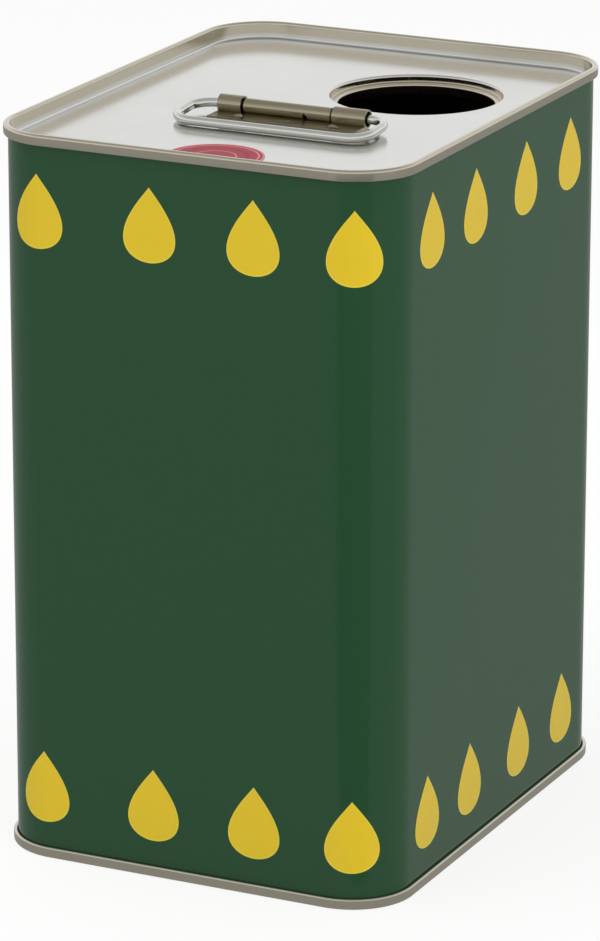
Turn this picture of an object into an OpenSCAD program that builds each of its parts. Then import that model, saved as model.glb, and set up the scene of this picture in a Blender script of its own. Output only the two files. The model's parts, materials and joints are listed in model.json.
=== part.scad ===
// Rectangular three litre oil tin: welded body, two seamed ends, open mouth and a folding wire handle.
// The tin stands on z = 0 with its middle on the Z axis, and its narrower faces look along -Y and +Y.

/* [Body] */
// Outside width of the body, along X
body_w = 114.5; // [96:0.5:180]
// Outside depth of the body, along Y
body_d = 146.5; // [138:0.5:240]
// Full height over both seams
tin_h = 199; // [90:1:320]
// Outside radius of the upright corners
corner_r = 16.5; // [10:0.5:24]
// Thickness of the body sheet
body_t = 0.25; // [0.2:0.01:0.4]

/* [Side seam] */
// Place of the welded lap along X, on the back face
lap_x = -5; // [-20:1:20]
// Width of the welded lap
lap_w = 1.2; // [0.6:0.1:3]
// How far the mashed lap stands out of the back face
lap_rise = 0.12; // [0.05:0.01:0.25]

/* [Ends and double seams] */
// Thickness of the sheet of the two ends
end_t = 0.28; // [0.2:0.01:0.4]
// Height of a double seam
seam_h = 3; // [2.4:0.1:4]
// Gap between the folded layers of a seam
fold_gap = 0.14; // [0.08:0.01:0.2]
// Gap between the chuck wall and the body
press_gap = 0.03; // [0.01:0.01:0.08]
// Smallest inside radius of a folded edge
fold_in_r = 0.07; // [0.04:0.01:0.12]
// Radius of the middle line where a chuck wall meets its panel
foot_r = 0.8; // [0.5:0.1:1.5]
// Depth of the lid's panel below the top of the seam
lid_sink = 4.6; // [3.6:0.1:8]
// Height of the base's panel above the bottom of the seam
base_sink = 4; // [3.6:0.1:8]
// Height of the raised middle of the base panel
base_step = 0.8; // [0.3:0.1:1.5]
// Distance from the body's outside to that raised middle
base_step_in = 12; // [8:1:24]
// Corner radius of that raised middle
base_step_r = 14; // [6:0.5:20]

/* [Sealing compound] */
// How far the compound reaches down inside a seam
compound_h = 2.2; // [1.2:0.1:2.4]
// Clearance on each face of the compound
compound_clear = 0.035; // [0.03:0.005:0.05]

/* [Mouth] */
// Diameter of the neck that takes a push-in closure
mouth_d = 42; // [30:0.5:50]
// Distance from the body's right face to the mouth's middle
mouth_from_right = 37.85; // [34:0.05:48]
// Distance from the body's back face to the mouth's middle
mouth_from_back = 45.85; // [34:0.05:60]
// Width of the ledge round the neck
ledge_w = 2.2; // [1.6:0.1:4]
// Depth of the ledge below the panel
ledge_drop = 2; // [1.6:0.1:3]
// Depth of the neck's lower edge below the panel
neck_drop = 5.2; // [4.8:0.1:8]
// Radius of the middle line of the bends round the mouth
mouth_bend_r = 0.5; // [0.35:0.05:0.7]
// Width of the hem turned out at the neck's lower edge
hem_w = 1.1; // [1:0.1:1.4]

/* [Handle] */
// Diameter of the handle's wire
wire_d = 2.5; // [2:0.1:3.2]
// Width of the loop between the middle lines of its sides
loop_w = 56; // [40:0.5:66]
// Reach of the loop from the hinge line to the middle of its front run
loop_reach = 17.2; // [16:0.1:26]
// Bend radius of the loop's corners, at the wire's middle
loop_r = 6; // [4:0.5:8]
// Gap between the wire's two ends, inside the strap
butt_gap = 1.5; // [0.5:0.1:4]
// Place of the loop's middle along X
handle_x = 2.8; // [-8:0.1:8]
// Distance from the mouth's middle forward to the hinge line
hinge_from_mouth = 41.2; // [38:0.1:46]
// Clearance under the wire where the loop lies on the panel
rest_gap = 0.15; // [0.1:0.05:0.3]
// Clearance under the strap's knuckles
knuckle_gap = 0.05; // [0.02:0.01:0.2]

/* [Strap] */
// Thickness of the strap's sheet
strap_t = 0.45; // [0.35:0.01:0.6]
// Clearance between a loop corner's bend and the strap's end
strap_end_gap = 0.5; // [0.3:0.1:2]
// Clearance round the wire in the middle barrel
wire_play = 0.3; // [0.2:0.05:0.4]
// How much wider the two end knuckles are than the barrel, in radius
knuckle_grow = 0.5; // [0.2:0.05:0.7]
// Length of the left knuckle
knuckle_l = 6.8; // [4:0.1:10]
// Length of the right knuckle
knuckle_r = 9.6; // [4:0.1:12]
// Width of the relief slits beside the knuckles
slit_w = 0.7; // [0.3:0.1:1.5]
// Reach of the welded foot in front of the hinge line
foot_reach = 8.5; // [7:0.1:10]
// Diameter of a weld pit in the foot
weld_d = 3.2; // [2:0.1:4]
// Depth of a weld pit
weld_depth = 0.35; // [0.1:0.05:0.5]
// Distance from the foot's front edge to the weld pits
weld_edge = 1; // [0.5:0.1:2]
// Distance between weld pits
weld_pitch = 14; // [8:0.5:15]
// Width of the small window in the barrel's front
window_w = 1.2; // [0.6:0.1:2]
// Distance from the loop's middle to that window
window_x = 3.3; // [-5:0.1:5]
// Height over the foot at which the slits and the window begin
cut_lift = 0.1; // [0.05:0.05:0.3]

/* [Lid label] */
// Diameter of the round label
label_d = 26; // [10:0.5:28]
// Thickness of the label
label_t = 0.12; // [0.06:0.01:0.2]
// Place of the label's middle along X
label_x = 1.5; // [-10:0.5:10]
// Distance from the body's front face to the label's middle
label_from_front = 15.05; // [15:0.05:20]

/* [Hidden] */
$fn = 96;
// Straight steps that stand for the arc of one bend
bend_steps = 4;
// A cut runs this far past the face it leaves
past = 0.5;
// Straight stretch between the two bends of a hem
hem_straight = 0.1;
// Flat stretch of a panel that is drawn together with its seam or with the mouth
rim_flat = 1.2;

// Straight stretches of the body between its corners
flat_w = body_w - 2 * corner_r;
flat_d = body_d - 2 * corner_r;

// Places of the seam's layers, as distances out from the body's outer face to each layer's middle
hook_q = fold_gap + end_t / 2;
body_hook_q = 2 * fold_gap + end_t + body_t / 2;
compound_q = body_hook_q + (body_t + fold_gap) / 2;
wall_q = body_hook_q + body_t / 2 + fold_gap + end_t / 2;
chuck_q = -(body_t + press_gap + end_t / 2);
seam_out = wall_q + end_t / 2;

// Bend radii of the layers, at their middles, one inside the other
body_bend_r = fold_in_r + body_t / 2;
compound_bend_r = body_bend_r + (body_t + fold_gap) / 2;
end_bend_r = body_bend_r + (body_t + end_t) / 2 + fold_gap;
turn_r = (wall_q - hook_q - hem_straight) / 2;

// Depths below the seam's crown
compound_top = end_t + fold_gap / 2;
body_top = end_t + fold_gap + body_t / 2;
hook_top = end_t + 2 * fold_gap + body_t;
body_hook_low = seam_h - end_t - fold_gap;

// The part of a panel that is carried round with its seam
panel_edge = chuck_q - foot_r - rim_flat;
lid_z = tin_h - lid_sink;

mouth_x = body_w / 2 - mouth_from_right;
mouth_y = body_d / 2 - mouth_from_back;
neck_r = (mouth_d + end_t) / 2;
step_r = neck_r + ledge_w;
hem_r = (hem_w - hem_straight) / 2;
mouth_join_r = step_r + mouth_bend_r + rim_flat;

wire_r = wire_d / 2;
hinge_y = mouth_y - hinge_from_mouth;
barrel_in_r = wire_r + wire_play;
barrel_r = barrel_in_r + strap_t;
knuckle_in_r = barrel_in_r + knuckle_grow;
knuckle_out_r = barrel_r + knuckle_grow;
axis_h = knuckle_out_r + knuckle_gap;
hinge_z = lid_z + axis_h;
strap_len = loop_w - 2 * (loop_r + strap_end_gap);
foot_h = 2 * strap_t;
// The loop leans down to the panel by this angle when it lies at rest
lean = asin((axis_h - wire_r - rest_gap) / loop_reach);

label_y = -body_d / 2 + label_from_front;

function unit(v) = v / norm(v);
function left_of(v) = [-v[1], v[0]];
function turned(v, a) = [v[0] * cos(a) - v[1] * sin(a), v[0] * sin(a) + v[1] * cos(a)];

// Points of the arc at bend i of the line p, on the side that lies off to the left of the line
function bend(p, i, r, off) = let (
        a = unit(p[i] - p[i - 1]),
        b = unit(p[i + 1] - p[i]),
        angle = atan2(a[0] * b[1] - a[1] * b[0], a * b),
        side = sign(angle),
        middle = p[i] - a * r * tan(abs(angle) / 2) + left_of(a) * r * side
    ) [for (k = [0 : bend_steps]) middle - turned(left_of(a), angle * k / bend_steps) * side * (r - off * side)];

// One face of a bent sheet: p is the sheet's middle line and radii has one radius for each bend
function sheet_side(p, radii, off) = let (last = len(p) - 1) concat(
        [p[0] + left_of(unit(p[1] - p[0])) * off],
        [for (i = [1 : last - 1]) each bend(p, i, radii[i - 1], off)],
        [p[last] + left_of(unit(p[last] - p[last - 1])) * off]);

function reversed(list) = [for (i = [len(list) - 1 : -1 : 0]) list[i]];

// Section of a bent sheet of thickness t
function sheet(p, radii, t) = concat(sheet_side(p, radii, t / 2), reversed(sheet_side(p, radii, -t / 2)));

// Section of an end and its half of the seam, with the seam's crown at height 0 and the tin below it
function end_section(sink) = sheet(
    [[panel_edge, -sink - end_t / 2], [chuck_q, -sink - end_t / 2], [chuck_q, -end_t / 2],
        [wall_q, -end_t / 2], [wall_q, -seam_h + end_t / 2], [hook_q, -seam_h + end_t / 2],
        [hook_q, -hook_top]],
    [foot_r, end_bend_r, end_bend_r, turn_r, turn_r], end_t);

body_section = sheet(
    [[body_hook_q, tin_h - body_hook_low], [body_hook_q, tin_h - body_top], [-body_t / 2, tin_h - body_top],
        [-body_t / 2, body_top], [body_hook_q, body_top], [body_hook_q, body_hook_low]],
    [body_bend_r, body_bend_r, body_bend_r, body_bend_r], body_t);

compound_section = sheet(
    [[compound_q, -compound_h], [compound_q, -compound_top], [0, -compound_top]],
    [compound_bend_r], fold_gap - 2 * compound_clear);

mouth_section = sheet(
    [[mouth_join_r, -end_t / 2], [step_r, -end_t / 2], [step_r, -ledge_drop - end_t / 2],
        [neck_r, -ledge_drop - end_t / 2], [neck_r, -neck_drop], [neck_r + hem_w, -neck_drop],
        [neck_r + hem_w, -neck_drop + hem_w]],
    [mouth_bend_r, mouth_bend_r, mouth_bend_r, hem_r, hem_r], end_t);

// Carries a section of [distance out from the body's face, height] round the tin's outline
module around_tin(section) {
    for (side = [0, 180]) rotate([0, 0, side]) {
        straight(section, flat_w, body_d / 2);
        rotate([0, 0, 90]) straight(section, flat_d, body_w / 2);
        translate([flat_w / 2, flat_d / 2, 0]) corner(section);
        translate([-flat_w / 2, flat_d / 2, 0]) rotate([0, 0, 90]) corner(section);
    }
}

module straight(section, length, reach) {
    translate([-length / 2, reach, 0]) rotate([90, 0, 90]) linear_extrude(length) polygon(section);
}

module corner(section) {
    rotate_extrude(angle = 90) translate([corner_r, 0]) polygon(section);
}

// The tin's outline moved in by a distance, with corners of radius r
module outline(inset, r) {
    w = body_w - 2 * inset;
    d = body_d - 2 * inset;
    square([w, d - 2 * r], center = true);
    square([w - 2 * r, d], center = true);
    for (x = [r - w / 2, w / 2 - r]) for (y = [r - d / 2, d / 2 - r]) translate([x, y]) circle(r);
}

module body_sheet() {
    color("darkgreen") {
        around_tin(body_section);
        lap();
    }
}

// The side seam: a narrow lap on the back face, mashed flat by the weld
module lap() {
    low = seam_h + past;
    translate([lap_x - lap_w / 2, body_d / 2 - body_t / 2, low])
        cube([lap_w, body_t / 2 + lap_rise, tin_h - 2 * low]);
}

module top_end() {
    color("gainsboro") {
        translate([0, 0, tin_h]) around_tin(end_section(lid_sink));
        translate([0, 0, lid_z - end_t]) linear_extrude(end_t) difference() {
            outline(-panel_edge, corner_r + panel_edge);
            translate([mouth_x, mouth_y]) circle(mouth_join_r);
        }
        translate([mouth_x, mouth_y, lid_z]) rotate_extrude() polygon(mouth_section);
    }
}

module bottom_end() {
    color("silver") {
        mirror([0, 0, 1]) around_tin(end_section(base_sink));
        translate([0, 0, base_sink]) linear_extrude(end_t) difference() {
            outline(-panel_edge, corner_r + panel_edge);
            outline(base_step_in, base_step_r);
        }
        translate([0, 0, base_sink]) linear_extrude(base_step + end_t) difference() {
            outline(base_step_in, base_step_r);
            outline(base_step_in + end_t, base_step_r - end_t);
        }
        translate([0, 0, base_sink + base_step]) linear_extrude(end_t)
            outline(base_step_in + end_t, base_step_r - end_t);
    }
}

module top_seam_compound() {
    color("dimgray") translate([0, 0, tin_h]) around_tin(compound_section);
}

module bottom_seam_compound() {
    color("dimgray") mirror([0, 0, 1]) around_tin(compound_section);
}

// One rolled stretch of the strap with its foot: outer and inner radius, first place and length along X
module rolled(r_out, r_in, x0, length) {
    translate([x0, 0, 0]) rotate([90, 0, 90]) linear_extrude(length) difference() {
        union() {
            translate([0, axis_h]) circle(r_out);
            translate([-foot_reach, 0]) square([foot_reach, foot_h]);
        }
        translate([0, axis_h]) circle(r_in);
    }
}

module handle_strap() {
    left = -strap_len / 2;
    barrel_len = strap_len - knuckle_l - knuckle_r;
    color("darkkhaki") translate([handle_x, hinge_y, lid_z]) difference() {
        union() {
            rolled(knuckle_out_r, knuckle_in_r, left, knuckle_l);
            rolled(barrel_r, barrel_in_r, left + knuckle_l, barrel_len);
            rolled(knuckle_out_r, knuckle_in_r, left + knuckle_l + barrel_len, knuckle_r);
        }
        for (x = [left + knuckle_l, left + knuckle_l + barrel_len - slit_w])
            translate([x, -knuckle_out_r - past, foot_h + cut_lift])
                cube([slit_w, 2 * (knuckle_out_r + past), 2 * knuckle_out_r]);
        for (k = [-1, 0, 1])
            translate([k * weld_pitch, weld_edge + weld_d / 2 - foot_reach, foot_h - weld_depth])
                cylinder(h = weld_depth + past, d = weld_d);
        translate([window_x, -barrel_r - past, foot_h + cut_lift])
            cube([window_w, barrel_r + past, axis_h - foot_h]);
    }
}

// A straight run of wire from a point, along X or along Y
module run_x(x, y, length) {
    translate([x, y, 0]) rotate([0, 90, 0]) cylinder(h = length, r = wire_r);
}

module run_y(x, y, length) {
    translate([x, y, 0]) rotate([-90, 0, 0]) cylinder(h = length, r = wire_r);
}

module handle_wire() {
    half = loop_w / 2;
    run = half - loop_r;
    side = loop_reach - 2 * loop_r;
    color("lightgray") translate([handle_x, hinge_y, hinge_z]) rotate([lean, 0, 0]) {
        run_x(-run, 0, run - butt_gap / 2);
        run_x(butt_gap / 2, 0, run - butt_gap / 2);
        run_x(-run, -loop_reach, 2 * run);
        for (x = [-half, half]) run_y(x, -loop_r - side, side);
        translate([run, -loop_r, 0]) wire_corner();
        translate([-run, -loop_r, 0]) rotate([0, 0, 90]) wire_corner();
        translate([-run, -loop_reach + loop_r, 0]) rotate([0, 0, 180]) wire_corner();
        translate([run, -loop_reach + loop_r, 0]) rotate([0, 0, 270]) wire_corner();
    }
}

module wire_corner() {
    rotate_extrude(angle = 90) translate([loop_r, 0]) circle(wire_r);
}

module lid_label() {
    color("firebrick") translate([label_x, label_y, lid_z]) cylinder(h = label_t, d = label_d);
}

body_sheet();
top_end();
bottom_end();
top_seam_compound();
bottom_seam_compound();
handle_strap();
handle_wire();
lid_label();
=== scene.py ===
"""The looks of a three litre olive oil tin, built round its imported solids.

Sizes are in millimetres and turn to metres only when a mesh is written. The tin stands on z = 0 with
its middle on the Z axis, and its front, the narrower face next to the round label, looks along -Y.
"""

import json
import logging
import math
from dataclasses import dataclass
from enum import Enum

import bmesh
import bpy
import numpy as np
from mathutils import Matrix, Vector


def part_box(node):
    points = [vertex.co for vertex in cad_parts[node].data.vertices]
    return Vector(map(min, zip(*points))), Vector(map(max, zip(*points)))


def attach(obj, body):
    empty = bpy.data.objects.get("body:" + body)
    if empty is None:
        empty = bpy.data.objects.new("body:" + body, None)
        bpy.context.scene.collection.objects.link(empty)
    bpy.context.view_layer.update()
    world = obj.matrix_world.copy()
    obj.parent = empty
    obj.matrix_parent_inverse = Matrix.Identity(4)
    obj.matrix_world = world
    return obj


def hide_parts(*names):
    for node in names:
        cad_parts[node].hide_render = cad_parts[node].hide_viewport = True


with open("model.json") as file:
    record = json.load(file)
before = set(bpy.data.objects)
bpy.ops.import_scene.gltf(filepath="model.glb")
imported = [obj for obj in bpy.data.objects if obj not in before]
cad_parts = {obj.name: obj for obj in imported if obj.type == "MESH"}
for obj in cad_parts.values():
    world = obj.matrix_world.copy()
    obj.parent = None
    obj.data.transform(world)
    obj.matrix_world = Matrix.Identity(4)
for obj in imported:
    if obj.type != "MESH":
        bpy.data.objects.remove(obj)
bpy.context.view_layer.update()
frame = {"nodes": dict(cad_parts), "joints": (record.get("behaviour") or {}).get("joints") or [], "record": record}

MM = 0.001
STRAIGHT_RAD = 1e-6
LOG = logging.getLogger("oil_tin")


class Piece(Enum):
    """The pieces that are built here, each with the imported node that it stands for."""

    BODY = ("printed_body", "body_sheet")
    TOP = ("seamed_lid", "top_end")
    BASE = ("seamed_base", "bottom_end")
    STRAP = ("welded_strap", "handle_strap")
    WIRE = ("folding_wire", "handle_wire")


def srgb(code: str) -> tuple[float, float, float, float]:
    """Turns an sRGB hex code into a linear colour.

    Args:
        code: six hex digits, with or without a leading #.

    Returns:
        Linear red, green and blue, and an alpha of 1.
    """
    digits = code.lstrip("#")
    parts = [int(digits[k : k + 2], 16) / 255 for k in (0, 2, 4)]
    linear = [c / 12.92 if c <= 0.04045 else ((c + 0.055) / 1.055) ** 2.4 for c in parts]
    return (linear[0], linear[1], linear[2], 1.0)


def put(tree: bpy.types.NodeTree, kind: str, inputs: dict | None = None, **settings) -> bpy.types.Node:
    """Adds one shader node.

    Args:
        tree: the node tree that takes it.
        kind: the node's Blender type.
        inputs: a value, or another node's output to link, for each input by name or number.
        settings: attributes of the node itself.

    Returns:
        The new node.
    """
    node = tree.nodes.new(kind)
    for name, value in settings.items():
        setattr(node, name, value)
    for key, value in (inputs or {}).items():
        if isinstance(value, bpy.types.NodeSocket):
            tree.links.new(value, node.inputs[key])
        else:
            node.inputs[key].default_value = value
    return node


def maths(tree: bpy.types.NodeTree, operation: str, *values) -> bpy.types.NodeSocket:
    """Works one Math node over numbers or outputs and gives its result."""
    return put(tree, "ShaderNodeMath", dict(enumerate(values)), operation=operation).outputs[0]


def blend_colour(tree: bpy.types.NodeTree, share, first, second) -> bpy.types.NodeSocket:
    """Mixes two colours and gives the result.

    Args:
        tree: the node tree.
        share: output or number, 0 for the first colour and 1 for the second.
        first: output or colour.
        second: output or colour.

    Returns:
        The mixed colour's output.
    """
    inputs = {"Factor": share, 6: first, 7: second}
    return put(tree, "ShaderNodeMix", inputs, data_type="RGBA").outputs[2]


def unit(v: np.ndarray) -> np.ndarray:
    """Scales a vector to length 1."""
    return v / np.linalg.norm(v)


def left_of(v: np.ndarray) -> np.ndarray:
    """Turns a vector a quarter turn to the left."""
    return np.array([-v[1], v[0]])


def sheet_side(path: np.ndarray, radii: list[float], off: float, steps: int) -> np.ndarray:
    """One face of a bent sheet.

    At each corner of the middle line an arc of the given radius touches both legs, so its centre lies
    on the inside at radius / cos(half the turn) from the corner. The face runs at a steady distance
    to the left of the middle line: straight ends, and arcs of radius minus or plus that distance.

    Args:
        path: the middle line's corners, one row each.
        radii: one bend radius for each inner corner; on a straight run it isn't used.
        off: distance of the face to the left of the middle line.
        steps: straight steps in each arc.

    Returns:
        The face's points, one row each.
    """
    rows = [path[0] + left_of(unit(path[1] - path[0])) * off]
    for corner, radius in enumerate(radii, start=1):
        come = unit(path[corner] - path[corner - 1])
        go = unit(path[corner + 1] - path[corner])
        angle = math.atan2(come[0] * go[1] - come[1] * go[0], float(come @ go))
        if abs(angle) < STRAIGHT_RAD:
            rows.append(path[corner] + left_of(come) * off)
            continue
        side = math.copysign(1.0, angle)
        centre = path[corner] - come * radius * math.tan(abs(angle) / 2) + left_of(come) * radius * side
        turns = np.linspace(0, angle, steps + 1)
        cos, sin = np.cos(turns), np.sin(turns)
        x, y = left_of(come)
        turned = np.stack([x * cos - y * sin, x * sin + y * cos], axis=1)
        rows.extend(centre - turned * side * (radius - off * side))
    rows.append(path[-1] + left_of(unit(path[-1] - path[-2])) * off)
    return np.array(rows)


@dataclass
class Skin:
    """A surface on a grid of points, closed round its first direction.

    The grid's rows go once round the piece and its columns follow the section. The columns close on
    themselves too, or run from one pole to the other, where the first and the last column each become
    a single point. The faces of the columns that inside gives, from its first to before its second,
    take the piece's second finish.
    """

    name: str
    grid: np.ndarray
    poles: bool = False
    inside: tuple[int, int] = (0, 0)
    reversed_faces: bool = False

    def corners(self) -> np.ndarray:
        """Row and column numbers of the corners of each four-sided face.

        The row after the last one is counted past the end.

        Returns:
            An array of faces x 4 corners x (row, column).
        """
        rows, columns = self.grid.shape[:2]
        first, last = (1, columns - 2) if self.poles else (0, columns)
        i, j = np.meshgrid(np.arange(rows), np.arange(first, last), indexing="ij")
        i, j = i.ravel(), j.ravel()
        ways = ((0, 0), (1, 0), (1, 1), (0, 1))
        return np.stack([np.stack([i + a, j + b], axis=1) for a, b in ways], axis=1)

    def build(self) -> bpy.types.Object:
        """Writes the mesh, with its faces looking outwards.

        The volume under the surface, a third of the sum of corner x (edge cross edge) over its
        triangles, comes out below zero where the faces look inwards, and then they are all reversed.

        Returns:
            The new object, at the origin, with its place in its mesh.
        """
        rows, columns = self.grid.shape[:2]
        points = self.grid.reshape(-1, 3)
        corner = self.corners()
        faces = (corner[..., 0] % rows) * columns + corner[..., 1] % columns
        fans = np.zeros((0, 3), int)
        if self.poles:
            ring = np.arange(rows)
            after = (ring + 1) % rows
            start, end = len(points), len(points) + 1
            points = np.concatenate([points, self.grid[:1, 0], self.grid[:1, -1]])
            here, there = ring * columns, after * columns
            head = np.stack([np.full(rows, start), there + 1, here + 1], axis=1)
            tail = np.stack([np.full(rows, end), here + columns - 2, there + columns - 2], axis=1)
            fans = np.concatenate([head, tail])
        triangles = np.concatenate([faces[:, [0, 1, 2]], faces[:, [0, 2, 3]], fans])
        a, b, c = (points[triangles[:, k]] for k in range(3))
        if np.einsum("ij,ij->", a, np.cross(b, c)) < 0:
            faces, fans = faces[:, ::-1], fans[:, ::-1]
            self.reversed_faces = True
        used, order = np.unique(np.concatenate([faces.ravel(), fans.ravel()]), return_inverse=True)
        quads = order[: faces.size].reshape(-1, 4)
        fan_faces = order[faces.size :].reshape(-1, 3)
        mesh = bpy.data.meshes.new(self.name)
        mesh.from_pydata((points[used] * MM).tolist(), [], quads.tolist() + fan_faces.tolist())
        column = np.concatenate([corner[:, 0, 1], np.repeat([1, columns - 2], len(fans) // 2)])
        in_the_tin = (column >= self.inside[0]) & (column < self.inside[1])
        mesh.polygons.foreach_set("material_index", in_the_tin.astype(np.int32))
        return finish_object(self.name, mesh)


def finish_object(name: str, mesh: bpy.types.Mesh) -> bpy.types.Object:
    """Makes an object of a mesh and shades it smooth, with the flat faces kept flat by their size.

    Args:
        name: the object's name.
        mesh: its mesh, in metres.

    Returns:
        The object, linked to the scene.
    """
    mesh.shade_smooth()
    item = bpy.data.objects.new(name, mesh)
    bpy.context.scene.collection.objects.link(item)
    keep_flat = item.modifiers.new("flat_faces_stay_flat", "WEIGHTED_NORMAL")
    keep_flat.keep_sharp = True
    return item


def stand_for(
    item: bpy.types.Object, piece: Piece, body: str, slot: str, *finishes: bpy.types.Material
) -> None:
    """Dresses a new piece, rides it on its body and hides the imported node that it stands for.

    Args:
        item: the piece.
        piece: which piece it is.
        body: the body that carries it.
        slot: the record's material slot; not used.
        finishes: its finish, and then the finish of the faces inside the tin, where it has some.
    """
    for finish in finishes:
        item.data.materials.append(finish)
    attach(item, body)
    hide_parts(piece.value[1])
    LOG.info("%s: %d faces, for %s", item.name, len(item.data.polygons), piece.value[1])


@dataclass
class Outline:
    """The tin's rounded rectangle, walked anticlockwise from the middle of the back.

    A station is a place on the outline. It has shares (a, b) of the half width and half depth between
    the corners' centres, and a unit direction u that points straight out. A loop at a distance out and
    with a corner radius r is then the point (a (w - r) + r ux, b (d - r) + r uy).
    """

    half_w: float
    half_d: float
    corner_r: float
    lap_x: float = -5.0
    lap_w: float = 1.2
    lap_edge: float = 1.1
    flat_steps_w: int = 36
    flat_steps_d: int = 48
    corner_steps: int = 24

    def __post_init__(self) -> None:
        """Lays out the stations once."""
        half = self.flat_steps_w // 2
        sides = (-self.lap_edge, -1, 1, self.lap_edge)
        lap = [-(abs(self.lap_x) + s * self.lap_w / 2) / (self.half_w - self.corner_r) for s in sides]
        back_a = np.unique(np.concatenate([np.linspace(0, -1, half, endpoint=False), lap]))[::-1]
        flat_w = np.linspace(-1, 1, self.flat_steps_w, endpoint=False)
        flat_d = np.linspace(1, -1, self.flat_steps_d, endpoint=False)
        turn = np.linspace(0, math.pi / 2, self.corner_steps, endpoint=False)
        runs = [(back_a, 1.0, 90, 0)]
        runs += [(-1.0, 1.0, 90, turn), (-1.0, flat_d, 180, 0), (-1.0, -1.0, 180, turn)]
        runs += [(flat_w, -1.0, 270, 0), (1.0, -1.0, 270, turn), (1.0, -flat_d, 0, 0)]
        runs += [(1.0, 1.0, 0, turn), (np.linspace(1, 0, half, endpoint=False), 1.0, 90, 0)]
        a, b, angle = [], [], []
        for run_a, run_b, start, turned in runs:
            count = max(np.size(run_a), np.size(run_b), np.size(turned))
            a.append(np.broadcast_to(run_a, count))
            b.append(np.broadcast_to(run_b, count))
            angle.append(np.broadcast_to(math.radians(start) + turned, count))
        self.a, self.b = np.concatenate(a), np.concatenate(b)
        turned = np.concatenate(angle)
        self.ux, self.uy = np.cos(turned).round(12), np.sin(turned).round(12)

    def carry(self, section: np.ndarray, radius: np.ndarray | None = None) -> np.ndarray:
        """Carries a section round the outline.

        Args:
            section: rows of (distance out from the body's face, height).
            radius: corner radius of each row's loop; the body's radius plus the distance where left out.

        Returns:
            Points, as stations x rows x 3.
        """
        out, height = section[:, 0], section[:, 1]
        r = np.maximum(self.corner_r + out if radius is None else radius, 0.0)
        x = self.a[:, None] * (self.half_w + out - r) + self.ux[:, None] * r
        y = self.b[:, None] * (self.half_d + out - r) + self.uy[:, None] * r
        return np.stack([x, y, np.broadcast_to(height, x.shape)], axis=2)

    def around(self) -> np.ndarray:
        """Distance walked to each station on the body's face, with the full length added at the end."""
        loop = self.carry(np.zeros((1, 2)))[:, 0, :2]
        steps = np.linalg.norm(np.roll(loop, -1, axis=0) - loop, axis=1)
        return np.concatenate([[0], np.cumsum(steps)])


@dataclass(frozen=True)
class SeamSizes:
    """The layers of a double seam, measured out from the body's face and down from the crown."""

    body_t: float = 0.25
    end_t: float = 0.28
    seam_h: float = 3.0
    fold_gap: float = 0.14
    press_gap: float = 0.03
    fold_in_r: float = 0.07
    foot_r: float = 0.8
    rim_flat: float = 1.2
    hem_straight: float = 0.1
    steps: int = 6

    @property
    def hook_q(self) -> float:
        """Middle of the end's hook."""
        return self.fold_gap + self.end_t / 2

    @property
    def body_hook_q(self) -> float:
        """Middle of the body's hook."""
        return 2 * self.fold_gap + self.end_t + self.body_t / 2

    @property
    def wall_q(self) -> float:
        """Middle of the seam's outer wall."""
        return self.body_hook_q + self.body_t / 2 + self.fold_gap + self.end_t / 2

    @property
    def chuck_q(self) -> float:
        """Middle of the wall that goes down to the sunk panel."""
        return -(self.body_t + self.press_gap + self.end_t / 2)

    @property
    def panel_q(self) -> float:
        """Place on the panel where the seam's own section ends."""
        return self.chuck_q - self.foot_r - self.rim_flat

    def end_faces(self, sink: float) -> tuple[np.ndarray, np.ndarray]:
        """The seen and the hidden face of an end, from its panel to the tip of its hook.

        Args:
            sink: depth of the panel below the seam's crown.

        Returns:
            Both faces as rows of (distance out, height), with the crown at height 0.
        """
        t = self.end_t
        body_bend = self.fold_in_r + self.body_t / 2
        end_bend = body_bend + (self.body_t + t) / 2 + self.fold_gap
        turn = (self.wall_q - self.hook_q - self.hem_straight) / 2
        hook_top = t + 2 * self.fold_gap + self.body_t
        path = np.array([
            [self.panel_q, -sink - t / 2],
            [self.chuck_q, -sink - t / 2],
            [self.chuck_q, -t / 2],
            [self.wall_q, -t / 2],
            [self.wall_q, -self.seam_h + t / 2],
            [self.hook_q, -self.seam_h + t / 2],
            [self.hook_q, -hook_top],
        ])
        radii = [self.foot_r, end_bend, end_bend, turn, turn]
        return sheet_side(path, radii, t / 2, self.steps), sheet_side(path, radii, -t / 2, self.steps)


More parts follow.
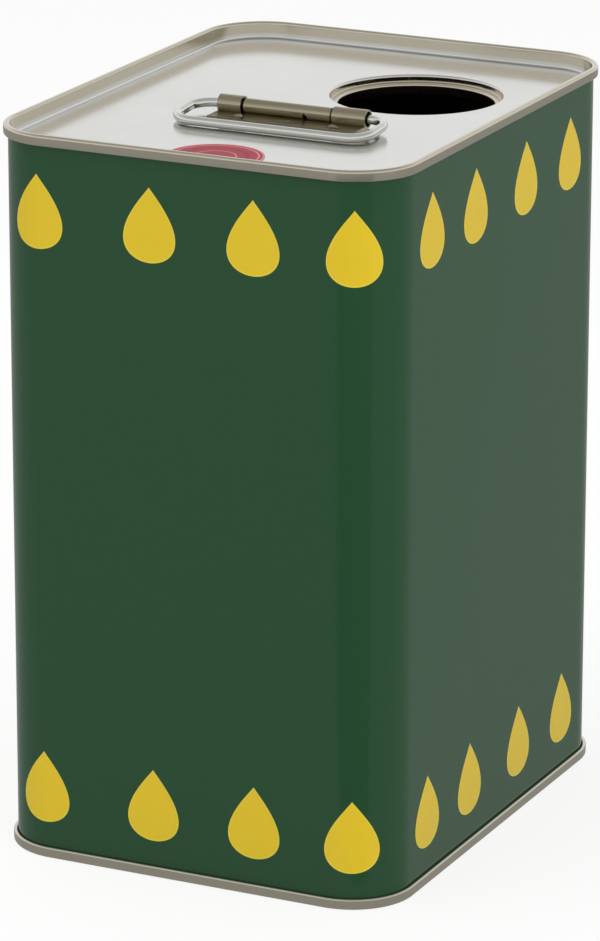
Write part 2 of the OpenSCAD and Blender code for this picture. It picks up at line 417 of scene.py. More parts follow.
@dataclass(frozen=True)
class LithographedTinplate:
    """Printed tinplate: a green ink, yellow drops and a clear gloss varnish, rolled onto steel sheet.

    The varnish gives a hard clear reflection, and the thin sheet's slow waves bend it a little. The
    drops lie flat in the ink with a pale edge where the yellow is thin and a dark edge where it overprints.
    The strip along the weld is left bare.
    """

    ink: str = "#1a4527"
    drop: str = "#dcbd20"
    drop_rim: str = "#dcc73a"
    drop_edge: str = "#23451f"
    bare: str = "#b9b6a8"
    weld: str = "#77746a"
    drop_h: float = 20.0
    drop_r: float = 7.5
    taper: float = 1.15
    rim: float = 0.96
    edge: float = 1.03
    strip_at: float = 5.0
    strip_w: float = 9.0
    weld_w: float = 1.2
    wave_mm: float = 55.0
    wave_depth_mm: float = 0.09
    roughness: float = 0.16
    ior: float = 1.5

    def drop_mask(self, tree: bpy.types.NodeTree, across, along, scale: float) -> bpy.types.NodeSocket:
        """Whether a point lies in a drop of the given scale.

        With u from 0 at the tip to 1 at the foot, the half width is R u^((1 + taper) / 2) sqrt(1 - u) over
        that curve's own greatest value, which lies at u = (1 + taper) / (2 + taper).

        Args:
            tree: the node tree.
            across: distance from the drop's middle line, in mm.
            along: height above the drop's middle, in mm.
            scale: size of the shape against the drop itself.

        Returns:
            1 inside and 0 outside.
        """
        power = (1 + self.taper) / 2
        widest = (1 + self.taper) / (2 + self.taper)
        greatest = widest**power * math.sqrt(1 - widest)
        u = maths(tree, "MULTIPLY_ADD", along, -1 / (self.drop_h * scale), 0.5)
        u = put(tree, "ShaderNodeClamp", {"Value": u}).outputs[0]
        tapered = maths(tree, "POWER", u, power)
        rounded = maths(tree, "SQRT", maths(tree, "SUBTRACT", 1.0, u))
        shape = maths(tree, "MULTIPLY", tapered, rounded)
        half = maths(tree, "MULTIPLY", shape, self.drop_r * scale / greatest)
        return maths(tree, "LESS_THAN", across, half)

    def build(self) -> bpy.types.Material:
        """Makes the material."""
        material = bpy.data.materials.new("lithographed_tinplate")
        material.use_nodes = True
        tree = material.node_tree
        shader = tree.nodes["Principled BSDF"]
        place = put(tree, "ShaderNodeUVMap", uv_map="drop").outputs[0]
        parts = put(tree, "ShaderNodeSeparateXYZ", {0: place})
        across = maths(tree, "MULTIPLY", maths(tree, "ABSOLUTE", parts.outputs[0]), 1 / MM)
        along = maths(tree, "MULTIPLY", parts.outputs[1], 1 / MM)
        edge = self.drop_mask(tree, across, along, self.edge)
        whole = self.drop_mask(tree, across, along, 1.0)
        inner = self.drop_mask(tree, across, along, self.rim)
        colour = blend_colour(tree, edge, srgb(self.ink), srgb(self.drop_edge))
        colour = blend_colour(tree, whole, colour, srgb(self.drop_rim))
        colour = blend_colour(tree, inner, colour, srgb(self.drop))
        wrap = put(tree, "ShaderNodeUVMap", uv_map="wrap").outputs[0]
        walked = put(tree, "ShaderNodeSeparateXYZ", {0: wrap}).outputs[0]
        off_strip = maths(tree, "ABSOLUTE", maths(tree, "SUBTRACT", walked, self.strip_at * MM))
        strip = maths(tree, "LESS_THAN", off_strip, self.strip_w / 2 * MM)
        weld = maths(tree, "LESS_THAN", off_strip, self.weld_w / 2 * MM)
        metal = blend_colour(tree, weld, srgb(self.bare), srgb(self.weld))
        colour = blend_colour(tree, strip, colour, metal)
        coords = put(tree, "ShaderNodeTexCoord").outputs["Object"]
        wave_inputs = {"Vector": coords, "Scale": 1 / (self.wave_mm * MM), "Detail": 1.0}
        waves = put(tree, "ShaderNodeTexNoise", wave_inputs)
        bump = {"Height": waves.outputs[0], "Distance": self.wave_depth_mm * MM, "Strength": 1.0}
        tree.links.new(put(tree, "ShaderNodeBump", bump).outputs[0], shader.inputs["Normal"])
        tree.links.new(colour, shader.inputs["Base Color"])
        tree.links.new(strip, shader.inputs["Metallic"])
        shader.inputs["Roughness"].default_value = self.roughness
        shader.inputs["IOR"].default_value = self.ior
        return material


@dataclass(frozen=True)
class BrightTinplate:
    """Bare tinplate or plated steel: a metal with a fine satin grain from rolling.

    The grain spreads reflections a little along one way, and handling leaves faint duller patches. On an
    end, a painted warm reflection darkens the seam, above and below the levels given by rim_levels, and
    painted shade and reflection darken the mouth's sunk ledge, which lies between the levels given by
    ledge_levels.
    """

    name: str
    colour: str
    dull: str
    roughness: float
    rim: str = ""
    rim_levels: tuple[float, float] = (3.4, 195.4)
    ledge_levels: tuple[float, float] = (100.0, 194.1)
    rim_fade: float = 0.7
    patch_mm: float = 26.0
    patch: float = 0.05
    grain_mm: float = 0.35
    grain_depth_mm: float = 0.0015
    grain_stretch: float = 0.04

    def build(self) -> bpy.types.Material:
        """Makes the material."""
        material = bpy.data.materials.new(self.name)
        material.use_nodes = True
        tree = material.node_tree
        shader = tree.nodes["Principled BSDF"]
        coords = put(tree, "ShaderNodeTexCoord").outputs["Object"]
        patches = put(
            tree, "ShaderNodeTexNoise", {"Vector": coords, "Scale": 1 / (self.patch_mm * MM), "Detail": 3.0}
        ).outputs[0]
        stretch = (1.0, self.grain_stretch, 1.0)
        along = put(tree, "ShaderNodeMapping", {"Vector": coords, "Scale": stretch}).outputs[0]
        grain = put(
            tree, "ShaderNodeTexNoise", {"Vector": along, "Scale": 1 / (self.grain_mm * MM), "Detail": 2.0}
        ).outputs[0]
        rough = maths(tree, "MULTIPLY_ADD", patches, self.patch * 2, self.roughness - self.patch)
        colour = blend_colour(tree, patches, srgb(self.colour), srgb(self.dull))
        # The rim colour is painted reflection on the seams, and painted shade and reflection on the mouth's sunk
        # ledge
        if self.rim:
            height = put(tree, "ShaderNodeSeparateXYZ", {0: coords}).outputs[2]
            low, high = (level * MM for level in self.rim_levels)
            fade = 1 / (self.rim_fade * MM)
            over = maths(tree, "MULTIPLY", maths(tree, "SUBTRACT", height, high), fade)
            under = maths(tree, "MULTIPLY", maths(tree, "SUBTRACT", low, height), fade)
            share = maths(tree, "MAXIMUM", over, under)
            foot, ledge = (level * MM for level in self.ledge_levels)
            sunk = maths(tree, "MULTIPLY", maths(tree, "SUBTRACT", ledge, height), fade)
            on_ledge = maths(tree, "MULTIPLY", sunk, maths(tree, "GREATER_THAN", height, foot))
            share = maths(tree, "MAXIMUM", share, on_ledge)
            share = put(tree, "ShaderNodeClamp", {"Value": share}).outputs[0]
            colour = blend_colour(tree, share, colour, srgb(self.rim))
        bump = {"Height": grain, "Distance": self.grain_depth_mm * MM, "Strength": 1.0}
        tree.links.new(put(tree, "ShaderNodeBump", bump).outputs[0], shader.inputs["Normal"])
        tree.links.new(rough, shader.inputs["Roughness"])
        tree.links.new(colour, shader.inputs["Base Color"])
        shader.inputs["Metallic"].default_value = 1.0
        return material


@dataclass(frozen=True)
class InsideLacquer:
    """Baked can lacquer over tinplate inside the tin: a dark golden brown with a soft sheen."""

    colour: str = "#2e2519"
    metallic: float = 0.6
    roughness: float = 0.42

    def build(self) -> bpy.types.Material:
        """Makes the material."""
        material = bpy.data.materials.new("baked_inside_lacquer")
        material.use_nodes = True
        shader = material.node_tree.nodes["Principled BSDF"]
        shader.inputs["Base Color"].default_value = srgb(self.colour)
        shader.inputs["Metallic"].default_value = self.metallic
        shader.inputs["Roughness"].default_value = self.roughness
        return material


@dataclass(frozen=True)
class LinerCompound:
    """Dried sealing compound: a matt grey synthetic rubber, squeezed thin inside the seam."""

    colour: str = "#5a5a58"
    roughness: float = 0.75

    def build(self) -> bpy.types.Material:
        """Makes the material."""
        material = bpy.data.materials.new("dried_sealing_compound")
        material.use_nodes = True
        shader = material.node_tree.nodes["Principled BSDF"]
        shader.inputs["Base Color"].default_value = srgb(self.colour)
        shader.inputs["Roughness"].default_value = self.roughness
        return material


@dataclass(frozen=True)
class PrintedFilmLabel:
    """A round label of printed polypropylene film: satin red with plain pale and dark rings.

    The rings are measured out from the middle: each row is where a ring ends and its colour.
    """

    radius: float = 13.0
    red: str = "#8e2230"
    dark: str = "#69151f"
    pale: str = "#bd7475"
    roughness: float = 0.5
    specular: float = 0.3

    def rings(self) -> list[tuple[float, str]]:
        """Start radius in mm and colour of each ring, from the middle out."""
        return [
            (0.0, self.red),
            (5.4, self.pale),
            (5.8, self.red),
            (8.4, self.dark),
            (8.9, self.red),
            (11.2, self.pale),
            (11.7, self.red),
            (12.4, self.pale),
        ]

    def build(self, middle: Vector) -> bpy.types.Material:
        """Makes the material.

        Args:
            middle: the label's middle, in metres.

        Returns:
            The material, which reads the distance from that middle.
        """
        material = bpy.data.materials.new("printed_film_label")
        material.use_nodes = True
        tree = material.node_tree
        shader = tree.nodes["Principled BSDF"]
        coords = put(tree, "ShaderNodeTexCoord").outputs["Object"]
        kind = "ShaderNodeVectorMath"
        flat = put(tree, kind, {0: coords, 1: (1.0, 1.0, 0.0)}, operation="MULTIPLY").outputs[0]
        off = put(tree, kind, {0: flat, 1: (middle.x, middle.y, 0.0)}, operation="SUBTRACT").outputs[0]
        length = put(tree, kind, {0: off}, operation="LENGTH").outputs["Value"]
        share = maths(tree, "MULTIPLY", length, 1 / (self.radius * MM))
        ramp = put(tree, "ShaderNodeValToRGB", {0: share})
        ramp.color_ramp.interpolation = "CONSTANT"
        stops = ramp.color_ramp.elements
        while len(stops) < len(self.rings()):
            stops.new(1.0)
        for stop, (start, colour) in zip(stops, self.rings()):
            stop.position = start / self.radius
            stop.color = srgb(colour)
        tree.links.new(ramp.outputs[0], shader.inputs["Base Color"])
        shader.inputs["Roughness"].default_value = self.roughness
        shader.inputs["Specular IOR Level"].default_value = self.specular
        return material


@dataclass
class BodyShell:
    """The printed body: one sheet wrapped into a rounded rectangle, hooked at both rims.

    Its drops stand in two rows, the upper ones just under the lid and the lower ones over the base.
    """

    outline: Outline
    seam: SeamSizes
    tin_h: float
    lap_rise: float = 0.12
    lap_ramp: float = 0.01
    lap_share: float = 0.52
    past: float = 0.5
    drop_h: float = 20.0
    row_foot: tuple[float, float] = (9.85, 168.4)
    seen_drops: tuple[float, ...] = (-42.4, -9.7, 19.9, 47.9, 78.1, 105.5, 138.2, 167.9)
    wall_levels: tuple[float, ...] = (0.93, 0.8, 0.65, 0.5, 0.35, 0.2, 0.07)

    def section(self) -> tuple[np.ndarray, int]:
        """The body's section, as a closed line with the outer face first.

        Returns:
            Rows of (distance out, height), and how many of them are on the outer side.
        """
        s = self.seam
        top = self.tin_h - (s.end_t + s.fold_gap + s.body_t / 2)
        low = s.seam_h - s.end_t - s.fold_gap
        bend = s.fold_in_r + s.body_t / 2
        lap_end = s.seam_h + self.past
        levels = [self.tin_h - lap_end + self.lap_ramp, self.tin_h - lap_end]
        levels += [self.tin_h * share for share in self.wall_levels]
        levels += [lap_end, lap_end - self.lap_ramp]
        wall = [[-s.body_t / 2, z] for z in levels]
        path = np.array(
            [[s.body_hook_q, self.tin_h - low], [s.body_hook_q, top], [-s.body_t / 2, top]]
            + wall
            + [[-s.body_t / 2, self.tin_h - top], [s.body_hook_q, self.tin_h - top], [s.body_hook_q, low]]
        )
        radii = [bend, bend] + [0.0] * len(wall) + [bend, bend]
        outer = sheet_side(path, radii, s.body_t / 2, s.steps)
        inner = sheet_side(path, radii, -s.body_t / 2, s.steps)
        return np.concatenate([outer, inner[::-1]]), len(outer)

    def skin(self) -> Skin:
        """Carries the section round the outline and lifts the lap's stations over the wall.

        The lap is where the outline's stations lie within half its width on the back: there each outer
        point between the two seams moves straight out by the lap's rise.
        """
        section, outer = self.section()
        grid = self.outline.carry(section)
        lap_end = self.seam.seam_h + self.past
        from_lap = np.abs(grid[:, 0, 0] - self.outline.lap_x)
        on_lap = (self.outline.b == 1) & (self.outline.uy == 1)
        on_lap &= from_lap < self.outline.lap_w * self.lap_share
        height = section[:, 1]
        slack = self.lap_ramp / 2
        on_wall = (np.arange(len(section)) < outer) & (height > lap_end - slack)
        on_wall &= height < self.tin_h - lap_end + slack
        grid[np.ix_(on_lap, on_wall, [1])] += self.lap_rise
        return Skin(Piece.BODY.value[0], grid, inside=(outer, len(section)))

    def lay_out(self, item: bpy.types.Object, skin: Skin) -> None:
        """Gives the body its two layouts, both in metres.

        The layout called wrap holds the distance walked round the body and the height. The one called
        drop holds, for each face, the way from the nearest drop's middle, so that one drop serves all.

        Args:
            item: the body.
            skin: the surface it was built from.
        """
        around = self.outline.around()
        length = around[-1]
        section, _ = self.section()
        corner = skin.corners()
        if skin.reversed_faces:
            corner = corner[:, ::-1]
        walked = around[corner[..., 0]]
        height = section[corner[..., 1] % len(section), 1]
        # The walk starts at the middle of the back, half the way round from the front's middle
        seen = np.array(self.seen_drops) + length / 2
        drops = np.concatenate([seen, seen - length / 2])
        face = walked.mean(axis=1)
        away = (face[:, None] - drops[None, :] + length / 2) % length - length / 2
        nearest = np.take_along_axis(away, np.abs(away).argmin(axis=1)[:, None], axis=1)
        foot = np.where(height.mean(axis=1) < self.tin_h / 2, *self.row_foot)[:, None]
        layouts = {
            "wrap": (walked, height),
            "drop": (walked - face[:, None] + nearest, height - foot - self.drop_h / 2),
        }
        for name, (u, v) in layouts.items():
            layer = item.data.uv_layers.new(name=name)
            layer.uv.foreach_set("vector", (np.stack([u, v], axis=2) * MM).astype(np.float32).ravel())

    def build(self, material: bpy.types.Material, lacquer: bpy.types.Material) -> None:
        """Builds, lays out and dresses the body."""
        skin = self.skin()
        item = skin.build()
        self.lay_out(item, skin)
        stand_for(item, Piece.BODY, "tin", "printed_tinplate", material, lacquer)


@dataclass
class Lid:
    """The seamed lid with its sunk panel, the stepped ledge round the mouth and the turned-in neck."""

    outline: Outline
    seam: SeamSizes
    tin_h: float
    sink: float
    mouth: tuple[float, float]
    mouth_d: float = 42.0
    ledge_w: float = 2.2
    ledge_drop: float = 2.0
    neck_drop: float = 5.2
    bend_r: float = 0.5
    hem_w: float = 1.1

    def mouth_faces(self) -> tuple[np.ndarray, np.ndarray]:
        """The hidden and the seen face of the mouth, as rows of (radius, height under the panel's top)."""
        t = self.seam.end_t
        neck = (self.mouth_d + t) / 2
        step = neck + self.ledge_w
        join = step + self.bend_r + self.seam.rim_flat
        hem_r = (self.hem_w - self.seam.hem_straight) / 2
        path = np.array([
            [join, -t / 2],
            [step, -t / 2],
            [step, -self.ledge_drop - t / 2],
            [neck, -self.ledge_drop - t / 2],
            [neck, -self.neck_drop],
            [neck + self.hem_w, -self.neck_drop],
            [neck + self.hem_w, -self.neck_drop + self.hem_w],
        ])
        radii = [self.bend_r] * 3 + [hem_r] * 2
        steps = self.seam.steps
        return sheet_side(path, radii, t / 2, steps), sheet_side(path, radii, -t / 2, steps)

    def carry_mouth(self, face: np.ndarray, angle: np.ndarray) -> np.ndarray:
        """Turns a face of the mouth about its axis: (x + r cos angle, y + r sin angle, height).

        Args:
            face: rows of (radius, height under the panel).
            angle: the angle of each station, seen from the mouth's middle.

        Returns:
            Points, as stations x rows x 3.
        """
        radius, height = face[:, 0], face[:, 1] + self.tin_h - self.sink
        x = self.mouth[0] + np.cos(angle)[:, None] * radius
        y = self.mouth[1] + np.sin(angle)[:, None] * radius
        return np.stack([x, y, np.broadcast_to(height, x.shape)], axis=2)

    def build(self, material: bpy.types.Material, lacquer: bpy.types.Material) -> None:
        """Joins the rim and the mouth by straight lines across both sides of the panel, into one sheet."""
        seen, hidden = (face + [0.0, self.tin_h] for face in self.seam.end_faces(self.sink))
        under, over = self.mouth_faces()
        rim_in = self.outline.carry(seen[::-1])
        edge = rim_in[:, -1]
        angle = np.arctan2(edge[:, 1] - self.mouth[1], edge[:, 0] - self.mouth[0])
        parts = [
            rim_in,
            self.carry_mouth(over, angle),
            self.carry_mouth(under[::-1], angle),
            self.outline.carry(hidden),
        ]
        start = parts[0].shape[1] + parts[1].shape[1]
        grid = np.concatenate(parts, axis=1)
        item = Skin(Piece.TOP.value[0], grid, inside=(start, grid.shape[1] - 1)).build()
        stand_for(item, Piece.TOP, "tin", "bare_tinplate", material, lacquer)


@dataclass
class Base:
    """The seamed base, whose middle stands a little higher inside a rounded step."""

    outline: Outline
    seam: SeamSizes
    sink: float = 4.0
    step: float = 0.8
    step_in: float = 12.0
    step_r: float = 14.0
    step_bend: float = 0.45
    inner_start: float = 6.0
    inner_flat: float = 3.0
    outer_flat: float = 5.0

    def panel_faces(self) -> tuple[np.ndarray, np.ndarray]:
        """The upper and the lower face of the panel, from near the middle out to the rim's section."""
        t = self.seam.end_t
        low = self.sink + t / 2
        inner = -self.step_in - t / 2
        path = np.array([
            [inner - self.inner_start, low + self.step],
            [inner - self.inner_flat, low + self.step],
            [inner - self.step / 2, low + self.step],
            [inner + self.step / 2, low],
            [inner + self.outer_flat, low],
        ])
        radii = [0.0, self.step_bend, self.step_bend]
        steps = self.seam.steps
        return sheet_side(path, radii, t / 2, steps), sheet_side(path, radii, -t / 2, steps)

    def carry_panel(self, face: np.ndarray) -> np.ndarray:
        """Carries a face of the panel, its corners rounded by the step's own radius, to the middle point."""
        loops = self.outline.carry(face, self.step_r + self.step_in + face[:, 0])
        middle = np.zeros((len(loops), 1, 3))
        middle[:, 0, 2] = face[0, 1]
        return np.concatenate([middle, loops], axis=1)

    def build(self, material: bpy.types.Material, lacquer: bpy.types.Material) -> None:
        """Joins the panel and the rim into one closed sheet with a pole on each face."""
        flip = np.array([1.0, -1.0])
        seen, hidden = (face * flip for face in self.seam.end_faces(self.sink))
        upper, lower = self.panel_faces()
        parts = [
            self.carry_panel(upper),
            self.outline.carry(hidden),
            self.outline.carry(seen[::-1]),
            self.carry_panel(lower)[:, ::-1],
        ]
        end = parts[0].shape[1] + parts[1].shape[1] - 1
        grid = np.concatenate(parts, axis=1)
        item = Skin(Piece.BASE.value[0], grid, poles=True, inside=(0, end)).build()
        stand_for(item, Piece.BASE, "tin", "bare_tinplate", material, lacquer)


@dataclass
class FoldingHandle:
    """The wire loop and the strap that holds it."""

    hinge: tuple[float, float, float]
    wire_r: float = 1.25
    loop_w: float = 56.0
    loop_reach: float = 17.2
    loop_r: float = 6.0
    butt_gap: float = 1.5
    rest_gap: float = 0.15
    panel_z: float = 194.4
    round_steps: int = 28
    corner_steps: int = 14
    end_round: float = 0.25
    sharp_deg: float = 32.0

    def path(self) -> tuple[np.ndarray, np.ndarray]:
        """The wire's middle line from one butt end to the other, flat in the loop's plane.

        The line is straight but for four quarter circles of the loop's corner radius.

        Returns:
            Points and unit directions along the wire, one row each.
        """
        half, r, reach = self.loop_w / 2, self.loop_r, self.loop_reach
        turn = np.linspace(0, math.pi / 2, self.corner_steps + 1)
        side, foot = half - r, r - reach
        centres = [(side, -r, 90), (side, foot, 0), (-side, foot, 270), (-side, -r, 180)]
        points, ways = [[self.butt_gap / 2, 0.0]], [[1.0, 0.0]]
        for x, y, start in centres:
            angle = math.radians(start) - turn
            points += np.stack([x + r * np.cos(angle), y + r * np.sin(angle)], axis=1).tolist()
            ways += np.stack([np.sin(angle), -np.cos(angle)], axis=1).tolist()
        points.append([-self.butt_gap / 2, 0.0])
        ways.append([1.0, 0.0])
        return np.array(points), np.array(ways)

    def build_wire(self, material: bpy.types.Material) -> None:
        """Carries a circle along the loop and lays the loop down on the panel.

        A ring's point is centre + radius (cos a n + sin a z), with n across the wire in the loop's plane.
        The last rings draw in to a point on each end, which rounds the cut edge.
        """
        points, ways = self.path()
        across = np.stack([-ways[:, 1], ways[:, 0]], axis=1)
        cut = self.end_round
        inset = ways[0] * cut
        start, end = points[0], points[-1]
        centre = np.concatenate([[start, start, start + inset], points[1:-1], [end - inset, end, end]])
        n = across[[0, 0, *range(len(points)), -1, -1]]
        full = np.full(len(points), self.wire_r)
        size = np.concatenate([[0.0, self.wire_r - cut], full, [self.wire_r - cut, 0.0]])
        angle = np.linspace(0, 2 * math.pi, self.round_steps, endpoint=False)
        x = centre[:, 0] + size * n[:, 0] * np.cos(angle)[:, None]
        y = centre[:, 1] + size * n[:, 1] * np.cos(angle)[:, None]
        z = size * np.sin(angle)[:, None]
        drop = self.hinge[2] - self.panel_z - self.wire_r - self.rest_gap
        lean = math.asin(drop / self.loop_reach)
        cos, sin = math.cos(lean), math.sin(lean)
        leant = np.stack([x, y * cos - z * sin, y * sin + z * cos], axis=2)
        item = Skin(Piece.WIRE.value[0], leant + np.array(self.hinge), poles=True).build()
        stand_for(item, Piece.WIRE, "handle", "plated_wire", material)

    def build_strap(self, material: bpy.types.Material) -> None:
        """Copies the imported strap, joins its loose triangles and smooths the rolled faces alone."""
        mesh = frame["nodes"][Piece.STRAP.value[1]].data.copy()
        mesh.name = Piece.STRAP.value[0]
        mesh.materials.clear()
        weld_points(mesh)
        item = finish_object(Piece.STRAP.value[0], mesh)
        mesh.set_sharp_from_angle(angle=math.radians(self.sharp_deg))
        stand_for(item, Piece.STRAP, "tin", "strap_tinplate", material)


def weld_points(mesh: bpy.types.Mesh, within: float = 2e-6) -> None:
    """Joins the points of a mesh that lie within a distance of each other, in metres."""
    work = bmesh.new()
    work.from_mesh(mesh)
    bmesh.ops.remove_doubles(work, verts=work.verts, dist=within)
    work.to_mesh(mesh)
    work.free()
    mesh.update()


def square(half: float) -> list[tuple[float, float]]:
    """Corners of a level square about the origin, anticlockwise."""
    return [(-half, -half), (half, -half), (half, half), (-half, half)]


@dataclass
class Studio:
    """A pale floor, a soft top lamp and a soft side lamp, in an even white room.

    The cards lie where only a shiny surface sees them: a grey table top, and a darker flag in front of
    the near corner that puts the deeper band in the printed sheet. Lengths are in metres.
    """

    floor_half: float = 6.0
    floor: str = "#f4f4f2"
    table: str = "#aaabaa"
    flag: str = "#808080"
    room: float = 0.62
    ceiling: float = 0.5
    floor_white: float = 0.82
    aim: tuple[float, float, float] = (0.0, 0.0, 0.1)
    card_half: float = 1.2
    table_z: float = 0.00004
    flag_z: float = 0.00008
    flag_reach: tuple[float, float] = (0.011, 0.815)
    flag_deg: tuple[float, ...] = (-9.0, 12.0, 34.0, 56.0)
    paper_roughness: float = 0.9
    paper_specular: float = 0.1
    ceiling_starts: float = 0.35
    ceiling_ends: float = 0.8
    top_at: tuple[float, float, float] = (-0.25, -0.2, 1.5)
    top_size: float = 1.4
    top_watts: float = 13.0
    side_at: tuple[float, float, float] = (1.45, -0.75, 0.8)
    side_size: float = 0.9
    side_watts: float = 8.0

    def lamp(self, name: str, place: Vector, size: float, power: float) -> None:
        """Hangs one square soft lamp and points it at the tin, out of sight of shiny surfaces."""
        light = bpy.data.lights.new(name, "AREA")
        light.shape = "SQUARE"
        light.size = size
        light.energy = power
        item = bpy.data.objects.new(name, light)
        bpy.context.scene.collection.objects.link(item)
        item.location = place
        item.rotation_euler = (Vector(self.aim) - place).to_track_quat("-Z", "Y").to_euler()
        item.visible_glossy = False

    def card(self, name: str, corners: list[tuple[float, float]], z: float, colour: str) -> None:
        """Lays a flat card and keeps it to reflections."""
        mesh = bpy.data.meshes.new(name)
        mesh.from_pydata([(x, y, z) for x, y in corners], [], [tuple(range(len(corners)))])
        item = bpy.data.objects.new(name, mesh)
        bpy.context.scene.collection.objects.link(item)
        material = bpy.data.materials.new(name)
        material.use_nodes = True
        tree = material.node_tree
        tree.nodes.remove(tree.nodes["Principled BSDF"])
        glow = put(tree, "ShaderNodeEmission", {"Color": srgb(colour), "Strength": 1.0})
        tree.links.new(glow.outputs[0], tree.nodes["Material Output"].inputs[0])
        mesh.materials.append(material)
        for way in ("camera", "diffuse", "transmission", "volume_scatter", "shadow"):
            setattr(item, f"visible_{way}", False)

    def shown(self, tree: bpy.types.NodeTree) -> bpy.types.NodeSocket:
        """1 for what the camera sees straight, in a mirror or through glass, and 0 for plain light."""
        seen = put(tree, "ShaderNodeLightPath").outputs
        straight = maths(tree, "MAXIMUM", seen["Is Camera Ray"], seen["Is Glossy Ray"])
        return maths(tree, "MAXIMUM", straight, seen["Is Transmission Ray"])

    def paper(self) -> bpy.types.Material:
        """Makes the floor's matt white paper, which shows near white and keeps a soft share of the shadow."""
        material = bpy.data.materials.new("matt_white_paper")
        material.use_nodes = True
        tree = material.node_tree
        shader = tree.nodes["Principled BSDF"]
        shader.inputs["Base Color"].default_value = srgb(self.floor)
        shader.inputs["Roughness"].default_value = self.paper_roughness
        shader.inputs["Specular IOR Level"].default_value = self.paper_specular
        white = put(tree, "ShaderNodeEmission", {"Color": (1.0, 1.0, 1.0, 1.0), "Strength": 1.0})
        share = maths(tree, "MULTIPLY", self.shown(tree), self.floor_white)
        mix = put(tree, "ShaderNodeMixShader", {0: share, 1: shader.outputs[0], 2: white.outputs[0]})
        tree.links.new(mix.outputs[0], tree.nodes["Material Output"].inputs[0])
        return material

    def world(self) -> None:
        """Fills the room: white at the horizon for the camera and for shiny surfaces, greyer overhead."""
        world = bpy.data.worlds.new("white_room")
        bpy.context.scene.world = world
        world.use_nodes = True
        tree = world.node_tree
        way = put(tree, "ShaderNodeTexCoord").outputs["Generated"]
        up = put(tree, "ShaderNodeSeparateXYZ", {0: way}).outputs[2]
        fall = {"Value": up, "From Min": self.ceiling_starts, "From Max": self.ceiling_ends}
        fall |= {"To Min": 1.0, "To Max": self.ceiling}
        level = put(tree, "ShaderNodeMapRange", fall).outputs[0]
        plain = tree.nodes["Background"]
        plain.inputs[0].default_value = (1.0, 1.0, 1.0, 1.0)
        plain.inputs[1].default_value = self.room
        shiny = put(tree, "ShaderNodeBackground", {"Color": (1.0, 1.0, 1.0, 1.0), "Strength": level})
        ways = {0: self.shown(tree), 1: plain.outputs[0], 2: shiny.outputs[0]}
        mix = put(tree, "ShaderNodeMixShader", ways)
        tree.links.new(mix.outputs[0], tree.nodes["World Output"].inputs[0])

    def build(self, near_corner: tuple[float, float]) -> None:
        """Sets up the floor, the cards, the lamps and the room.

        Args:
            near_corner: where the near upright corner stands, in metres.
        """
        mesh = bpy.data.meshes.new("floor")
        mesh.from_pydata([(x, y, 0) for x, y in square(self.floor_half)], [], [(0, 1, 2, 3)])
        floor = bpy.data.objects.new("floor", mesh)
        bpy.context.scene.collection.objects.link(floor)
        mesh.materials.append(self.paper())
        self.card("table_card", square(self.card_half), self.table_z, self.table)
        # The flag's reach keeps it out of the two seams' reflections, seen from the photograph's place
        x, y = near_corner
        near, far = self.flag_reach
        turns = [math.radians(a) for a in self.flag_deg]
        ring = [(x + math.sin(a) * far, y - math.cos(a) * far) for a in turns]
        ring += [(x + math.sin(a) * near, y - math.cos(a) * near) for a in reversed(turns)]
        self.card("dark_flag", ring, self.flag_z, self.flag)
        self.world()
        self.lamp("top_softbox", Vector(self.top_at), self.top_size, self.top_watts)
        self.lamp("side_softbox", Vector(self.side_at), self.side_size, self.side_watts)


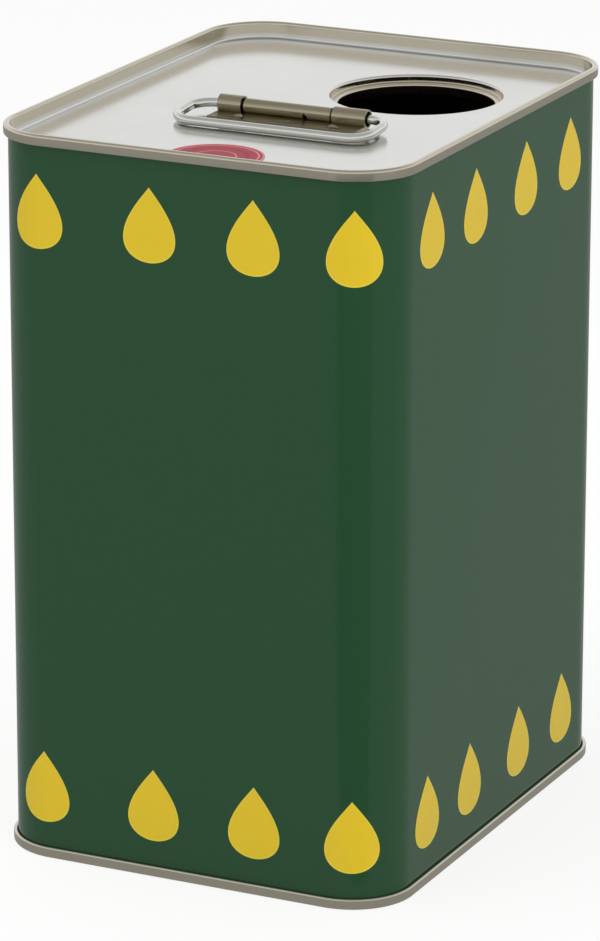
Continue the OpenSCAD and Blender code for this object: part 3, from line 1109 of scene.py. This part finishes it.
@dataclass
class Viewpoint:
    """The photograph's camera: where it stands round the tin, how far off, and its lens."""

    azimuth: float = 25.70
    elevation: float = 17.35
    roll: float = 0.08
    distance: float = 1449.0
    lens: float = 204.0
    target: tuple[float, float, float] = (-2.0, 0.0, 93.2)
    clip_m: tuple[float, float] = (0.05, 30.0)

    def build(self) -> None:
        """Makes the camera, with its right and up turned by the roll about the line of sight."""
        a, e, roll = (math.radians(v) for v in (self.azimuth, self.elevation, self.roll))
        back = Vector((math.sin(a) * math.cos(e), -math.cos(a) * math.cos(e), math.sin(e)))
        right = Vector((math.cos(a), math.sin(a), 0.0))
        up = back.cross(right)
        cos, sin = math.cos(roll), math.sin(roll)
        right, up = right * cos + up * sin, up * cos - right * sin
        data = bpy.data.cameras.new("camera")
        data.lens = self.lens
        data.clip_start, data.clip_end = self.clip_m
        camera = bpy.data.objects.new("camera", data)
        bpy.context.scene.collection.objects.link(camera)
        turn = Matrix((right, up, back)).transposed().to_4x4()
        place = (Vector(self.target) + back * self.distance) * MM
        camera.matrix_world = Matrix.Translation(place) @ turn
        bpy.context.scene.camera = camera


def main() -> None:
    """Builds the tin's pieces in order, then the studio and the camera."""
    logging.basicConfig(level=logging.INFO, format="%(name)s: %(message)s")
    low, high = (Vector(v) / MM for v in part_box("body_sheet"))
    seam = SeamSizes()
    tin_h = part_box("top_end")[1].z / MM
    rim = seam.body_hook_q + seam.body_t / 2
    outline = Outline(half_w=high.x - rim, half_d=high.y - rim, corner_r=16.5)
    hinge = tuple(v / MM for v in frame["joints"][0]["pos_m"])
    mouth = next(m for m in frame["record"]["mounts"] if m["name"] == "mouth")["pos_m"]
    # The rim colour is painted reflection on the seams, and painted shade and reflection on the mouth's sunk ledge
    tinplate = BrightTinplate("satin_tinplate", "#d5d5d2", "#cbcbc7", 0.16, rim="#c3bcab").build()
    strap_finish = BrightTinplate("lacquered_strap_tinplate", "#aba48e", "#9a927b", 0.24, patch_mm=9.0)
    lacquer = InsideLacquer().build()
    plated = BrightTinplate("zinc_plated_wire", "#dddfda", "#cfd0ca", 0.17, patch_mm=7.0).build()
    BodyShell(outline, seam, tin_h).build(LithographedTinplate().build(), lacquer)
    Lid(outline, seam, tin_h, sink=4.6, mouth=(mouth[0] / MM, mouth[1] / MM)).build(tinplate, lacquer)
    Base(outline, seam).build(tinplate, lacquer)
    handle = FoldingHandle(hinge)
    handle.build_wire(plated)
    handle.build_strap(strap_finish.build())
    label = frame["nodes"]["lid_label"]
    middle = sum(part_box("lid_label"), Vector()) / 2
    label.data.materials.clear()
    label.data.materials.append(PrintedFilmLabel().build(middle))
    compound = LinerCompound().build()
    for node in ("top_seam_compound", "bottom_seam_compound"):
        frame["nodes"][node].data.materials.clear()
        frame["nodes"][node].data.materials.append(compound)
    LOG.info("label and compound dressed; body from %s to %s mm", low[:], high[:])
    Studio().build((high.x * MM, low.y * MM))
    Viewpoint().build()
    bpy.context.scene.view_settings.view_transform = "Standard"


if __name__ == "__main__":
    main()
